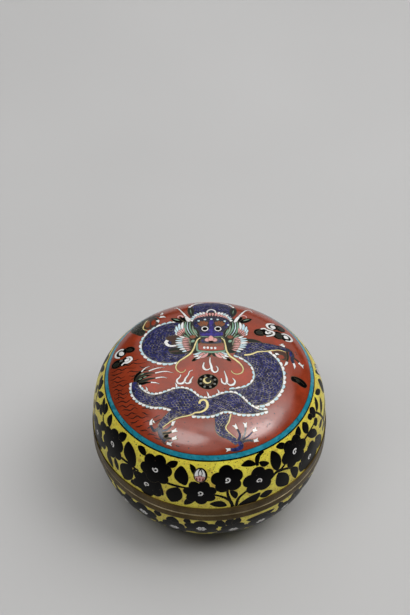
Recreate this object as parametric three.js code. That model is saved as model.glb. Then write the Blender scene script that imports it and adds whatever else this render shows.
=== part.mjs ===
// A round covered box of cloisonne enamel on copper, with gilt brass rims.
// Millimetres, +Z up. The origin is the centre of the foot ring's underside, and +Z is the box's axis.
import * as THREE from 'three';

// Overall form
const BOX_RADIUS = 52; // over the brass rims, which stand proud of the enamel
const SEAM_HEIGHT = 38; // where the lid meets the base
const LID_HEIGHT = 39.5; // from the seam to the crown of the lid
const RIM_PROUD = 0.5;
const WALL = 2.6; // copper sheet with enamel on both sides
const AROUND = 60; // facets around the axis

// Superellipse exponents of the two shells: one for the radius, one for the height
const LID_CURVE = { radial: 3.6, axial: 3.4 };
const BASE_CURVE = { radial: 3.0, axial: 2.2 };
const OUTER_STEPS = 14;
const INNER_STEPS = 10;

// Brass fittings
const LID_RIM_HEIGHT = 4.6;
const BASE_RIM_HEIGHT = 3.8;
const FLANGE_RISE = 3.5; // the base's inner lip, which keeps the lid in place
const FLANGE_THICKNESS = 1.6;
const FLANGE_CLEARANCE = 0.3;
const FLANGE_LEAD = 0.4; // bevel at the top of the lip
const RIM_BEVEL = 0.4;
const FOOT_HEIGHT = 4.5;
const FOOT_OUTER_RADIUS = 31;
const FOOT_THICKNESS = 3.5;
const FOOT_BEVEL = 0.6;

// Worked out from the above
const ENAMEL_RADIUS = BOX_RADIUS - RIM_PROUD;
const INNER_RADIUS = ENAMEL_RADIUS - WALL;
const FLANGE_OUTER_RADIUS = INNER_RADIUS - FLANGE_CLEARANCE;
const FLANGE_INNER_RADIUS = FLANGE_OUTER_RADIUS - FLANGE_THICKNESS;
const LID_EDGE_HEIGHT = SEAM_HEIGHT + LID_RIM_HEIGHT;
const BASE_EDGE_HEIGHT = SEAM_HEIGHT - BASE_RIM_HEIGHT;
const FLOOR_HEIGHT = FOOT_HEIGHT + WALL;

// Points of a shell's profile, from its widest edge to its pole or to a flat cut.
// radius and reach are the superellipse's half-axes, direction is +1 for the lid and -1 for the base,
// edgeRise is the height above or below the seam where the shell starts, and cut is where it ends.
function shellProfile(radius, reach, curve, direction, edgeRise, cut, steps) {
  const angleAt = (rise) => Math.asin(Math.pow(rise / reach, curve.axial / 2));
  const first = angleAt(edgeRise);
  const last = angleAt(cut);
  const points = [];
  for (let i = 0; i <= steps; i++) {
    const angle = first + ((last - first) * i) / steps;
    const r = radius * Math.pow(Math.max(Math.cos(angle), 0), 2 / curve.radial);
    const rise = reach * Math.pow(Math.sin(angle), 2 / curve.axial);
    points.push(new THREE.Vector2(i === steps && cut === reach ? 0 : r, SEAM_HEIGHT + direction * rise));
  }
  return points;
}

// A solid turned about Z from a profile of (radius, height) points.
function turned(points) {
  const geometry = new THREE.LatheGeometry(points, AROUND);
  geometry.rotateX(Math.PI / 2);
  return geometry;
}

function closedRing(corners) {
  const points = corners.map(([r, z]) => new THREE.Vector2(r, z));
  points.push(points[0].clone());
  return turned(points);
}

function piece(name, geometry, material) {
  const mesh = new THREE.Mesh(geometry, material);
  mesh.name = name;
  return mesh;
}

function lidBody() {
  const outer = shellProfile(
    ENAMEL_RADIUS, LID_HEIGHT, LID_CURVE, 1, LID_RIM_HEIGHT, LID_HEIGHT, OUTER_STEPS,
  );
  const innerReach = LID_HEIGHT - WALL;
  const inner = shellProfile(INNER_RADIUS, innerReach, LID_CURVE, 1, LID_RIM_HEIGHT, innerReach, INNER_STEPS);
  return turned([...inner.reverse(), ...outer]);
}

function baseBody() {
  const outerCut = SEAM_HEIGHT - FOOT_HEIGHT;
  const innerReach = SEAM_HEIGHT - FLOOR_HEIGHT;
  const outer = shellProfile(
    ENAMEL_RADIUS, SEAM_HEIGHT, BASE_CURVE, -1, BASE_RIM_HEIGHT, outerCut, OUTER_STEPS,
  );
  const inner = shellProfile(
    INNER_RADIUS, innerReach, BASE_CURVE, -1, BASE_RIM_HEIGHT, innerReach, INNER_STEPS,
  );
  const underside = new THREE.Vector2(0, FOOT_HEIGHT);
  return turned([underside, ...outer.reverse(), ...inner]);
}

function lidRim() {
  return closedRing([
    [INNER_RADIUS, SEAM_HEIGHT],
    [BOX_RADIUS - RIM_BEVEL, SEAM_HEIGHT],
    [BOX_RADIUS, SEAM_HEIGHT + RIM_BEVEL],
    [BOX_RADIUS, LID_EDGE_HEIGHT - RIM_BEVEL],
    [BOX_RADIUS - RIM_BEVEL, LID_EDGE_HEIGHT],
    [INNER_RADIUS, LID_EDGE_HEIGHT],
  ]);
}

function baseRim() {
  const lipTop = SEAM_HEIGHT + FLANGE_RISE;
  return closedRing([
    [FLANGE_INNER_RADIUS, BASE_EDGE_HEIGHT],
    [BOX_RADIUS - RIM_BEVEL, BASE_EDGE_HEIGHT],
    [BOX_RADIUS, BASE_EDGE_HEIGHT + RIM_BEVEL],
    [BOX_RADIUS, SEAM_HEIGHT - RIM_BEVEL],
    [BOX_RADIUS - RIM_BEVEL, SEAM_HEIGHT],
    [FLANGE_OUTER_RADIUS, SEAM_HEIGHT],
    [FLANGE_OUTER_RADIUS, lipTop - FLANGE_LEAD],
    [FLANGE_OUTER_RADIUS - FLANGE_LEAD, lipTop],
    [FLANGE_INNER_RADIUS, lipTop],
  ]);
}

function footRing() {
  const innerRadius = FOOT_OUTER_RADIUS - FOOT_THICKNESS;
  return closedRing([
    [innerRadius + FOOT_BEVEL, 0],
    [FOOT_OUTER_RADIUS - FOOT_BEVEL, 0],
    [FOOT_OUTER_RADIUS, FOOT_BEVEL],
    [FOOT_OUTER_RADIUS, FOOT_HEIGHT],
    [innerRadius, FOOT_HEIGHT],
    [innerRadius, FOOT_BEVEL],
  ]);
}

const lidEnamel = new THREE.MeshStandardMaterial({ color: 0xa8341f, roughness: 0.25, metalness: 0 });
const baseEnamel = new THREE.MeshStandardMaterial({ color: 0xd3b62e, roughness: 0.3, metalness: 0 });
const brass = new THREE.MeshStandardMaterial({ color: 0x6e5a36, roughness: 0.4, metalness: 1 });

const box = new THREE.Group();
box.add(
  piece('base_body', baseBody(), baseEnamel),
  piece('base_rim', baseRim(), brass),
  piece('foot_ring', footRing(), brass),
  piece('lid_body', lidBody(), lidEnamel),
  piece('lid_rim', lidRim(), brass),
);

export default box;
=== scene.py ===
import math

import bpy
import numpy as np
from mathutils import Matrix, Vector
from mathutils.geometry import delaunay_2d_cdt


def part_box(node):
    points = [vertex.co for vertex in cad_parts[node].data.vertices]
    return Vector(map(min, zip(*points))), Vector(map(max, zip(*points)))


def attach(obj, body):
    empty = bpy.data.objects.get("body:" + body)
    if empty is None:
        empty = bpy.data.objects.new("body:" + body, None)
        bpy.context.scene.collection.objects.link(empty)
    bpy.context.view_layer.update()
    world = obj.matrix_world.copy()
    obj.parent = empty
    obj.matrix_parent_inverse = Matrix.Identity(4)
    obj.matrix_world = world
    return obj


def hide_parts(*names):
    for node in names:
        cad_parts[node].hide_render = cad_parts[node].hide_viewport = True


# A round covered box of cloisonne enamel: a dragon chasing a pearl on a red lid, and black flowers on
# yellow sides. Every cell of enamel and every wire is made of faces of the mesh, flush with its neighbours.
# Drawings are in millimetres on a flattened surface, where the distance from the middle is arc length.

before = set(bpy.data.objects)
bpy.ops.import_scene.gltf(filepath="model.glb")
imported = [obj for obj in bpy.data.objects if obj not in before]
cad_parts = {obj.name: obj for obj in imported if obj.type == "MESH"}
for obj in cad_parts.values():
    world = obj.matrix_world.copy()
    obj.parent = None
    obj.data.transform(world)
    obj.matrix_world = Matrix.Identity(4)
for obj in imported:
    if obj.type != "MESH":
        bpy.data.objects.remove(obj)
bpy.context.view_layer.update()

MM = 0.001


# ---------------------------------------------------------------- sizes, from the frame

def height_of(node, corner):
    """The height of a node's box, at its bottom for corner 0 and its top for corner 1."""
    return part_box(node)[corner].z / MM


SEAM = height_of("lid_rim", 0)
LID_EDGE = height_of("lid_rim", 1)
CROWN = height_of("lid_body", 1)
BASE_EDGE = height_of("base_rim", 0)
LIP_TOP = height_of("base_rim", 1)
FOOT_TOP = height_of("foot_ring", 1)
RIM_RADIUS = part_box("base_rim")[1].x / MM
FOOT_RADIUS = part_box("foot_ring")[1].x / MM
ENAMEL_RADIUS = RIM_RADIUS - 0.5
WALL = 2.6
INNER_RADIUS = ENAMEL_RADIUS - WALL
FLOOR = FOOT_TOP + WALL
FOOT_THICKNESS = 3.5
LIP_RADIUS = INNER_RADIUS - 0.3
LIP_THICKNESS = 1.6
UNDER_RIM = 0.3  # how far the enamel runs in behind the brass

# Heights above or below the seam
LID_RISE = CROWN - SEAM
LID_LOW = LID_EDGE - SEAM - UNDER_RIM
BASE_LOW = SEAM - BASE_EDGE - UNDER_RIM

LID_CURVE = (3.6, 3.4)  # superellipse exponents, for the radius and for the height
BASE_CURVE = (3.0, 2.2)

WIRE = 0.2  # width of the wires
RING = 360  # points on every edge circle
PANEL_REACH = 48.05  # arc length from the crown to the end of the lid's picture
TURQUOISE = (45.7, 47.7)  # arc lengths from the crown to both edges of the turquoise ring
LINING = "turquoise"  # the enamel inside and underneath
LID_SPACING = 1.3  # between the mesh's points in plain enamel
BASE_SPACING = 1.5


# ---------------------------------------------------------------- surfaces of revolution

def polar(reach, angle):
    """Points at these distances and angles from the middle."""
    return np.stack((reach * np.cos(angle), reach * np.sin(angle)), -1)


def circle(radius):
    return polar(radius, np.arange(RING) * math.tau / RING)


def shell_profile(radius, reach, curve, direction, lowest, highest):
    """Radii and heights of a shell from its pole, or its flat cut, out to its rim."""
    radial, axial = curve
    first = math.asin((highest / reach) ** (axial / 2))
    last = math.asin((lowest / reach) ** (axial / 2))
    angle = first + (last - first) * np.linspace(0, 1, 4000) ** 1.5
    r = radius * np.cos(angle).clip(0) ** (2 / radial)
    return r, SEAM + direction * reach * np.sin(angle) ** (2 / axial)


class Surface:
    """A surface of revolution, and its flattening. facing is 1 where its front is left of the profile."""

    def __init__(self, r, z, start, facing):
        self.r = r
        self.z = z
        self.reach = start + np.concatenate(([0.0], np.cumsum(np.hypot(np.diff(r), np.diff(z)))))
        self.facing = facing
        self.normal_r = -facing * np.gradient(z, self.reach)
        self.normal_z = facing * np.gradient(r, self.reach)

    def lift(self, flat):
        """Places and outward directions of flattened points."""
        reach = np.hypot(flat[:, 0], flat[:, 1])
        angle = np.arctan2(flat[:, 1], flat[:, 0])
        profile = (self.r, self.z, self.normal_r, self.normal_z)
        r, z, out, up = [np.interp(reach, self.reach, values) for values in profile]
        normal = np.column_stack((polar(out, angle), up))
        return np.column_stack((polar(r, angle), z)), normal / np.linalg.norm(normal, axis=1, keepdims=True)


lid_outside = Surface(*shell_profile(ENAMEL_RADIUS, LID_RISE, LID_CURVE, 1, LID_LOW, LID_RISE), 0, 1)
lid_inside = Surface(
    *shell_profile(INNER_RADIUS, LID_RISE - WALL, LID_CURVE, 1, LID_LOW, LID_RISE - WALL), 0, -1,
)
base_profile = shell_profile(ENAMEL_RADIUS, SEAM, BASE_CURVE, -1, BASE_LOW, SEAM - FOOT_TOP)
BASE_CUT = base_profile[0][0]
base_outside = Surface(*base_profile, BASE_CUT, -1)
INSIDE_DROP = SEAM - FLOOR
base_inside = Surface(*shell_profile(INNER_RADIUS, INSIDE_DROP, BASE_CURVE, -1, BASE_LOW, INSIDE_DROP), 0, 1)
base_underside = Surface(np.array((0.0, BASE_CUT)), np.array((FOOT_TOP, FOOT_TOP)), 0, -1)
LID_REACH = lid_outside.reach[-1]
BASE_REACH = base_outside.reach[-1]


# ---------------------------------------------------------------- outlines in the flattened plane

def smooth(points, step=0.4, closed=False):
    """A curve through the points, sampled about every step."""
    p = np.array(points, float)
    if closed:
        p = np.vstack((p[-1], p, p[:2]))
    else:
        p = np.vstack((2 * p[0] - p[1], p, 2 * p[-1] - p[-2]))
    runs = []
    for a, b, c, d in zip(p[:-3], p[1:-2], p[2:-1], p[3:]):
        count = max(2, round(math.dist(b, c) / step))
        t = (np.arange(count) / count)[:, None]
        runs.append(
            0.5 * (2 * b + (c - a) * t + (2 * a - 5 * b + 4 * c - d) * t**2 + (3 * b - a - 3 * c + d) * t**3)
        )
    if not closed:
        runs.append(p[-2:-1])
    return np.vstack(runs)


def sideways(path, closed=False):
    """Unit vectors to the left of a path."""
    if closed:
        along = np.roll(path, -1, axis=0) - np.roll(path, 1, axis=0)
    else:
        along = np.gradient(path, axis=0)
    along /= np.linalg.norm(along, axis=1, keepdims=True).clip(1e-9)
    return np.stack((-along[:, 1], along[:, 0]), 1)


def ribbon(path, half, closed=False):
    """The loops around a path. half is half its width, as one number or as one for each point."""
    offset = sideways(path, closed) * np.broadcast_to(half, len(path))[:, None]
    if closed:
        return [path - offset, (path + offset)[::-1]]
    return [np.vstack((path - offset, (path + offset)[::-1]))]


def taper(path, start, middle, end):
    """Widths along a path."""
    return np.interp(np.linspace(0, 1, len(path)), (0, 0.45, 1), (start, middle, end))


def spindle(base, tip, width, bend, shape):
    """An outline on both sides of an arc from base to tip. shape gives the half width along it."""
    base = np.array(base, float)
    along = np.array(tip, float) - base
    across = np.array((-along[1], along[0]))
    count = max(5, round(np.hypot(*along) / 0.45))
    t = np.linspace(0, 1, count)[:, None]
    spine = base + along * t + across * bend * 4 * t * (1 - t)
    half = across / np.hypot(*across) * width / 2 * shape(t)
    return np.vstack((spine - half, (spine + half)[-2:0:-1]))


def leaf(base, tip, width, bend=0.0):
    """Pointed at both ends."""
    return spindle(base, tip, width, bend, lambda t: np.sin(np.pi * t).clip(0) ** 0.7)


def petal(base, tip, width, bend=0.0):
    """Narrow at its base and round at its tip."""
    return spindle(base, tip, width, bend, lambda t: np.sin(np.pi * t**1.9).clip(0) ** 0.5)


def oval(centre, radius_x, radius_y=None, turn=0.0, step=0.45):
    radius_y = radius_y or radius_x
    count = max(8, round(math.tau * max(radius_x, radius_y) / step))
    a = np.arange(count) * math.tau / count
    x = radius_x * np.cos(a)
    y = radius_y * np.sin(a)
    c, s = math.cos(math.radians(turn)), math.sin(math.radians(turn))
    return np.array(centre, float) + np.stack((x * c - y * s, x * s + y * c), 1)


def length_of(path):
    return np.hypot(*np.diff(path, axis=0).T).sum()


def resampled(path, count):
    """The same path as count evenly spaced points."""
    reach = np.concatenate(([0.0], np.cumsum(np.hypot(*np.diff(path, axis=0).T))))
    at = np.linspace(0, reach[-1], count)
    return np.stack((np.interp(at, reach, path[:, 0]), np.interp(at, reach, path[:, 1])), 1)


def inside(points, loops):
    """Which points the loops wind around."""
    if len(loops) == 2 and len(loops[0]) == len(loops[1]) == RING:  # the two circles of a ring
        reach = np.hypot(points[:, 0], points[:, 1])
        return (reach < np.hypot(*loops[0][0])) & (reach > np.hypot(*loops[1][0]))
    turns = np.zeros(len(points), int)
    px = points[:, 0:1]
    py = points[:, 1:2]
    for loop in loops:
        ax, ay = loop.T
        bx, by = np.roll(loop, -1, axis=0).T
        side = (bx - ax) * (py - ay) - (by - ay) * (px - ax)
        turns += ((ay <= py) & (by > py) & (side > 0)).sum(1)
        turns -= ((ay > py) & (by <= py) & (side < 0)).sum(1)
    return turns != 0


# ---------------------------------------------------------------- a drawing of cells and wires

class Drawing:
    """Areas of enamel and wire, a later one on top of an earlier one. Wire widths are shares of WIRE."""

    def __init__(self, ground):
        self.ground = ground
        self.areas = []

    def fill(self, loops, enamel):
        self.areas.append(([np.asarray(loop) for loop in loops], enamel))

    def ring(self, inner, outer, enamel):
        self.areas.append(([circle(outer), circle(inner)[::-1]], enamel))

    def wire(self, path, closed=False, width=1.0):
        self.fill(ribbon(path, WIRE * width / 2, closed), "wire")

    def cell(self, outline, enamel, width=1.0):
        self.fill([outline], enamel)
        self.wire(outline, True, width)

    def blob(self, points, enamel, width=1.0):
        """A cell with a smooth outline through the points."""
        self.cell(smooth(points, closed=True), enamel, width)

    def stroke(self, points, widths, enamel, step=0.4, wired=True):
        """A tapering line of enamel through the points. widths are at its start, its middle and its end."""
        path = smooth(points, step)
        outline = ribbon(path, taper(path, *widths) / 2)[0]
        self.fill([outline], enamel)
        if wired:
            self.wire(outline, True, 0.75)

    def two_tone(self, base, tip, width, inner, outer, share, bend=0.0):
        """A petal that changes colour part of the way along."""
        base = np.array(base, float)
        part = base + (np.array(tip, float) - base) * share
        self.cell(petal(base, tip, width, bend), outer)
        self.cell(petal(base, part, width * 0.72, bend), inner, 0.8)


def visible_edges(drawing):
    """The points of all outlines and the edges between them, without those hidden by later enamel."""
    loops = [loop for area, _ in drawing.areas for loop in area]
    owner = np.repeat(np.arange(len(drawing.areas)), [sum(map(len, area)) for area, _ in drawing.areas])
    places = np.vstack(loops)
    hidden = np.zeros(len(places), bool)
    for index, (area, enamel) in enumerate(drawing.areas):
        if enamel.endswith("wire"):
            continue
        low, high = area[0].min(0), area[0].max(0)
        near = np.flatnonzero((owner < index) & (places > low).all(1) & (places < high).all(1) & ~hidden)
        if len(near):
            hidden[near] = inside(places[near], area)

    ends = np.cumsum([len(loop) for loop in loops])
    after = np.arange(1, len(places) + 1)
    after[ends - 1] = ends - [len(loop) for loop in loops]
    kept = ~(hidden & hidden[after])
    edges = np.stack((np.flatnonzero(kept), after[kept]), 1)
    used = np.zeros(len(places), bool)
    used[edges.ravel()] = True
    return places[used], (np.cumsum(used) - 1)[edges]


def free_points(outlines, inner, outer, spacing):
    """Rings of points between two radii, left out where an outline passes."""
    grid = 0.5
    taken = set(map(tuple, np.round(outlines / grid).astype(int)))
    free = []
    for radius in np.arange(inner + spacing, outer - spacing / 2, spacing):
        around = round(math.tau * radius / spacing)
        ring = polar(radius, (np.arange(around) + 0.5 * (len(free) % 2)) * math.tau / around)
        free += [p for p in ring if tuple(np.round(p / grid).astype(int)) not in taken]
    return np.array(free)


def triangulated(drawing, inner, outer, spacing):
    """Points, triangles and the enamel of each triangle for a drawing between two radii."""
    outlines, edges = visible_edges(drawing)
    points = [outlines]
    edges = [edges]
    count = len(outlines)
    for radius in [radius for radius in (inner, outer) if radius]:
        points.append(circle(radius))
        edges.append(count + np.stack((np.arange(RING), (np.arange(RING) + 1) % RING), 1))
        count += RING
    points.append(free_points(outlines, inner, outer, spacing))

    made = delaunay_2d_cdt(
        [Vector(p) for p in np.vstack(points)], [tuple(map(int, e)) for e in np.vstack(edges)], [], 0, 1e-4,
        False,
    )
    flat = np.array([tuple(p) for p in made[0]])
    faces = np.array(made[2])
    middle = flat[faces].mean(1)
    if inner:
        faces = faces[np.hypot(middle[:, 0], middle[:, 1]) > inner * math.cos(math.pi / RING) + 1e-6]
        middle = flat[faces].mean(1)

    names = [drawing.ground] + [enamel for _, enamel in drawing.areas]
    label = np.zeros(len(faces), int)
    order = np.argsort(middle[:, 0])
    sorted_x = middle[order, 0]
    for index, (area, _) in enumerate(drawing.areas):
        corners = np.vstack(area)
        low, high = corners.min(0), corners.max(0)
        run = order[np.searchsorted(sorted_x, low[0]):np.searchsorted(sorted_x, high[0])]
        run = run[(middle[run, 1] > low[1]) & (middle[run, 1] < high[1])]
        if len(run):
            label[run[inside(middle[run], area)]] = index + 1
    return flat, faces, [names[i] for i in label]


# ---------------------------------------------------------------- meshes

def add_object(name, data):
    made = bpy.data.objects.new(name, data)
    bpy.context.scene.collection.objects.link(made)
    return made


class Build:
    """Collects the faces of one piece."""

    def __init__(self):
        self.points = []
        self.normals = []
        self.faces = []
        self.enamels = []
        self.uvs = []
        self.count = 0

    def add_points(self, places, normals):
        """Adds points and returns the index of the first."""
        self.points.append(places)
        self.normals.append(normals)
        first = self.count
        self.count += len(places)
        return first

    def add_faces(self, faces, enamels, uvs, flip=False):
        if flip:
            faces = faces[:, ::-1]
            uvs = uvs[:, ::-1]
        self.faces += [tuple(map(int, f)) for f in faces]
        self.enamels += enamels
        self.uvs += [tuple(map(tuple, corner)) for corner in uvs]

    def finish(self, name, slot, *nodes):
        mesh = bpy.data.meshes.new(name)
        mesh.from_pydata((np.vstack(self.points) * MM).tolist(), [], self.faces)
        used = sorted(set(self.enamels))
        for enamel in used:
            mesh.materials.append(material(enamel))
        index = {enamel: i for i, enamel in enumerate(used)}
        mesh.polygons.foreach_set("material_index", [index[enamel] for enamel in self.enamels])
        mesh.polygons.foreach_set("use_smooth", [True] * len(self.faces))
        layer = mesh.uv_layers.new(name="OFBake")
        layer.uv.foreach_set("vector", np.array([c for face in self.uvs for c in face], np.float32).ravel())
        mesh.normals_split_custom_set_from_vertices(np.vstack(self.normals).tolist())
        mesh.validate()
        piece = add_object(name, mesh)
        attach(piece, "root")
        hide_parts(*nodes)


def ring_order(flat, radius):
    """The indices of the points on a circle, in order of angle from zero."""
    on = np.flatnonzero(np.abs(np.hypot(flat[:, 0], flat[:, 1]) - radius) < 2e-3)
    angle = np.arctan2(flat[on, 1], flat[on, 0]) % math.tau
    angle[angle > math.tau - 1e-4] = 0
    on = on[np.argsort(angle)]
    if len(on) != RING:
        raise ValueError(f"{len(on)} points on the circle of radius {radius}")
    return on


def strip(lower, upper):
    """Triangles between two rings of points."""
    lower_next = np.roll(lower, -1)
    upper_next = np.roll(upper, -1)
    return np.vstack((np.stack((lower, lower_next, upper_next), 1), np.stack((lower, upper_next, upper), 1)))


def add_sheet(build, surface, drawing, inner, outer, spacing, layout):
    """Adds a drawn surface and returns its inner and outer rings of points."""
    flat, faces, enamels = triangulated(drawing, inner, outer, spacing)
    first = build.add_points(*surface.lift(flat))
    build.add_faces(faces + first, enamels, layout(flat[faces]), surface.facing < 0)
    inner_ring = ring_order(flat, inner) + first if inner else None
    return inner_ring, ring_order(flat, outer) + first


def add_lining(build, surface, first_reach, last_reach, count, layout):
    """Adds a plain surface of rings, which may start in a point, and returns its first and last ring."""
    rings = []
    flats = []
    for reach in np.linspace(first_reach, last_reach, count + 1):
        flat = circle(reach) if reach else np.zeros((1, 2))
        first = build.add_points(*surface.lift(flat))
        rings.append(np.arange(first, first + len(flat)))
        flats.append(flat)
    flat = np.vstack(flats)
    for lower, upper in zip(rings[:-1], rings[1:]):
        if len(lower) == 1:
            faces = np.stack((np.full(RING, lower[0]), upper, np.roll(upper, -1)), 1)
        else:
            faces = strip(upper, lower)[:, ::-1]
        build.add_faces(faces, [LINING] * len(faces), layout(flat[faces - rings[0][0]]), surface.facing < 0)
    return rings[0], rings[-1]


def disc_layout(reach, middle, radius):
    """Places on the bake's map for a disc of flattened surface."""
    return lambda corners: np.array(middle) + corners / reach * radius


def strip_layout(inner, outer, low, high, count, columns):
    """Places on the bake's map for a ring of surface, cut into straight strips laid side by side."""
    low = np.array(low)
    cell = (np.array(high) - low) / (columns, math.ceil(count / columns))
    margin = 0.06

    def layout(corners):
        middle = corners.mean(1)
        turn = np.arctan2(middle[:, 1], middle[:, 0]) % math.tau
        which = (turn / math.tau * count).astype(int).clip(0, count - 1)
        centre = (which + 0.5) / count * math.tau
        angle = np.arctan2(corners[..., 1], corners[..., 0])
        off = (angle - turn[:, None] + math.pi) % math.tau - math.pi + (turn - centre)[:, None]
        across = off / (math.tau / count)
        up = (np.hypot(corners[..., 0], corners[..., 1]) - inner) / (outer - inner)
        u = low[0] + cell[0] * ((which % columns)[:, None] + 0.5 + across * (1 - 2 * margin))
        v = low[1] + cell[1] * ((which // columns)[:, None] + margin / 2 + up * (1 - margin))
        return np.stack((u, v), -1)
    return layout


def add_edge(build, lower, upper, spot):
    """Closes the gap between two rings of points. spot is a small free corner of the bake's map."""
    faces = strip(lower, upper)
    angle = {int(i): k / RING for ring in (lower, upper) for k, i in enumerate(ring)}
    level = {int(i): step for step, ring in enumerate((lower, upper)) for i in ring}
    uvs = []
    for face in faces:
        run = np.array([angle[int(i)] for i in face])
        if np.ptp(run) > 0.5:
            run[run < 0.5] += 1
        uvs.append([(spot[0] + 0.4 * r, spot[1] + 0.006 * level[int(i)]) for r, i in zip(run, face)])
    build.add_faces(faces, [LINING] * len(faces), uvs)


# ---------------------------------------------------------------- materials

ENAMELS = {  # linear colour, how glossy it is, and its grain
    "red": (0.315, 0.042, 0.013, 0.9, "patchy"),
    "wave": (0.060, 0.014, 0.008, 0.8, "cloudy"),
    "blue": (0.018, 0.020, 0.108, 0.20, "mixed"),
    "violet": (0.030, 0.020, 0.175, 0.4, "mixed"),
    "navy": (0.012, 0.014, 0.050, 0.7, "cloudy"),
    "black": (0.0012, 0.0010, 0.0013, 0.05, "plain"),
    "dark": (0.012, 0.016, 0.010, 0.3, "cloudy"),
    "grey": (0.16, 0.18, 0.17, 0.6, "cloudy"),
    "white": (0.96, 0.94, 0.91, 0.8, "plain"),
    "pale": (0.58, 0.76, 0.82, 0.8, "plain"),
    "pink": (0.78, 0.36, 0.34, 0.8, "plain"),
    "green": (0.19, 0.37, 0.25, 0.8, "plain"),
    "sage": (0.30, 0.38, 0.27, 0.8, "plain"),
    "yellow": (0.98, 0.79, 0.085, 0.25, "specked"),
    "cream": (0.88, 0.74, 0.33, 0.6, "plain"),
    "orange": (0.27, 0.085, 0.032, 0.6, "cloudy"),
    "brown": (0.060, 0.024, 0.014, 0.5, "cloudy"),
    "turquoise": (0.016, 0.275, 0.385, 0.7, "streaked"),
}
PATCHES = {  # for each grain: scale, detail, where a patch starts and is full, its strength and its colour
    "patchy": (
        (75, 4.0, 0.56, 0.70, 1.0, (0.46, 0.048, 0.012)),
        (110, 5.0, 0.54, 0.74, 0.6, (0.16, 0.032, 0.010)),
    ),
    "specked": (
        (210, 2.0, 0.55, 0.75, 1.0, (0.62, 0.36, 0.06)),
        (1100, 2.0, 0.56, 0.70, 0.6, (0.34, 0.27, 0.03)),
    ),
    "streaked": (
        (300, 3.0, 0.50, 0.66, 0.8, (0.09, 0.42, 0.52)),
        (520, 3.0, 0.54, 0.70, 1.0, (0.02, 0.12, 0.16)),
    ),
}
SPECK = (0.06, 0.045, 0.015)
FLECK = (0.20, 0.20, 0.26)
PIT = (0.03, 0.018, 0.012)


class Nodes:
    """A short way to write a material's nodes. A value is a number, a colour or another node's output."""

    def __init__(self, name):
        self.material = bpy.data.materials.new(name)
        self.material.use_nodes = True
        self.tree = self.material.node_tree
        self.shader = self.tree.nodes["Principled BSDF"]
        self.place = self.add("ShaderNodeTexCoord", []).outputs["Object"]

    def add(self, kind, values, **settings):
        """A new node with values for its inputs, as pairs of an input and a value."""
        node = self.tree.nodes.new(kind)
        for key, value in settings.items():
            setattr(node, key, value)
        for key, value in values:
            self.put(node.inputs[key], value)
        return node

    def put(self, socket, value):
        if isinstance(value, (int, float)):
            socket.default_value = value
        elif isinstance(value, tuple):
            socket.default_value = (*value, 1)
        else:
            self.tree.links.new(value, socket)

    def set(self, key, value):
        self.put(self.shader.inputs[key], value)

    def noise(self, scale, detail=2.0, roughness=0.5):
        values = (("Vector", self.place), ("Scale", scale), ("Detail", detail), ("Roughness", roughness))
        return self.add("ShaderNodeTexNoise", values).outputs["Fac"]

    def spots(self, scale):
        """Distance to scattered points."""
        values = (("Vector", self.place), ("Scale", scale))
        return self.add("ShaderNodeTexVoronoi", values).outputs["Distance"]

    def ramp(self, source, low, high, start=0.0, end=1.0):
        """start below low, end above high, and between them in between."""
        inputs = ("Value", "From Min", "From Max", "To Min", "To Max")
        values = zip(inputs, (source, low, high, start, end))
        return self.add("ShaderNodeMapRange", values).outputs["Result"]

    def maths(self, operation, first, second):
        return self.add("ShaderNodeMath", ((0, first), (1, second)), operation=operation).outputs["Value"]

    def mix(self, share, first, second):
        values = (("Factor", share), (6, first), (7, second))
        return self.add("ShaderNodeMix", values, data_type="RGBA").outputs[2]

    def bump(self, source, distance, strength):
        values = (("Strength", strength), ("Distance", distance), ("Height", source))
        self.set("Normal", self.add("ShaderNodeBump", values).outputs["Normal"])


def shade(colour, by):
    return tuple(min(1.0, c * by) for c in colour)


def enamel_material(name, colour, gloss, grain):
    """Polished glass enamel: uneven in colour, with small dark pits and a soft gloss."""
    n = Nodes(f"enamel_{name}")
    cloud = n.ramp(n.noise(160, 3.0), 0.3, 0.7)
    base = n.mix(cloud, shade(colour, 0.82), shade(colour, 1.15))
    if grain == "mixed":
        base = n.mix(n.ramp(n.noise(700, 1.0), 0.35, 0.65), shade(colour, 0.35), shade(colour, 1.8))
        flecks = n.ramp(n.spots(900), 0.14, 0.24, 1.0, 0.0)
        base = n.mix(n.maths("MULTIPLY", flecks, n.ramp(n.noise(260, 1.0), 0.48, 0.56)), base, FLECK)
    for scale, detail, low, high, strength, patch in PATCHES.get(grain, ()):
        base = n.mix(n.ramp(n.noise(scale, detail), low, high, 0.0, strength), base, patch)
    if grain == "specked":
        base = n.mix(n.ramp(n.spots(800), 0.13, 0.24, 0.9, 0.0), base, SPECK)
    fine = n.ramp(n.noise(1500), 0.3, 0.7, 0.0, 0.4)
    grained = n.mix(fine, base, shade(colour, 0.9 if grain == "plain" else 0.65))
    some = n.ramp(n.noise(90, 1.0), 0.50, 0.58)
    pitted = n.maths("MULTIPLY", n.ramp(n.spots(420), 0.10, 0.16, 1.0, 0.0), some)
    n.set("Base Color", n.mix(pitted, grained, PIT))
    low = 0.13 if gloss > 0.5 else 0.30
    n.set("Roughness", n.ramp(cloud, 0.0, 1.0, low, low + 0.09))
    n.set("IOR", 1.85)
    n.set("Specular IOR Level", 0.5 * gloss)
    n.bump(n.maths("SUBTRACT", n.noise(220), pitted), 0.00006, 0.6)
    return n.material


def wire_material(name, dull, bright):
    """Thin gilt wire, ground flush and dulled. In its scale wire copy, which is darker with pale spots, the
    spots are painted glints of the wires on the body.
    """
    n = Nodes(name)
    wear_and_glint = n.ramp(n.noise(500), 0.40, 0.66)
    n.set("Base Color", n.mix(wear_and_glint, dull, bright))
    n.set("Metallic", 0.85)
    n.set("Roughness", n.ramp(wear_and_glint, 0.0, 1.0, 0.38, 0.28))
    return n.material


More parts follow.
